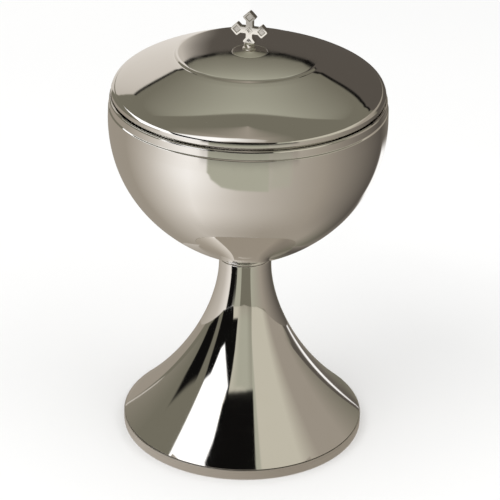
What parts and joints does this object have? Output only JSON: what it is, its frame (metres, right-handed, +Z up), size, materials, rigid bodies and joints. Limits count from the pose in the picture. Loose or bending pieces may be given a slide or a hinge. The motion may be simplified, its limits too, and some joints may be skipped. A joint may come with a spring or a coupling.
{
  "type": "ciborium vessel",
  "caption": "Covered cup on a hollow trumpet foot with a satin base band; the stepped lid with its small cross finial lifts straight off the cup.",
  "frame": {"origin": "on the turning axis, at the underside of the foot", "axes": "+Z up along the turning axis from foot to finial, -Y is the front, +X to the right seen from the front"},
  "size_m": [0.1448, 0.1448, 0.2386],
  "materials": {
    "polished_silver": "mirror-polished silver plate, slightly warm",
    "satin_band": "satin, fine turned grain, no clear reflections",
    "fastener_steel": "plain zinc-bright steel",
    "plain_brass": "unplated brass, hidden inside"
  },
  "bodies": {
    "vessel": {"foot_shell": "polished_silver", "foot_rim_ring": "satin_band", "stem_top_plate": "plain_brass", "collar_ring": "polished_silver", "cup_boss": "plain_brass", "tie_stud": "fastener_steel", "tie_washer": "fastener_steel", "tie_lock_washer": "fastener_steel", "tie_nut": "fastener_steel", "cup_shell": "polished_silver"},
    "lid": {"lid_shell": "polished_silver", "lid_locating_ring": "polished_silver", "finial_base": "polished_silver", "finial_neck": "polished_silver", "finial_washer": "fastener_steel", "finial_nut": "fastener_steel", "finial_cross": "polished_silver"}
  },
  "joints": [
    {"name": "lid_lift", "type": "slide", "parent": "vessel", "child": "lid", "axis": [0, 0, 1], "range_m": [0, 0.1]}
  ]
}
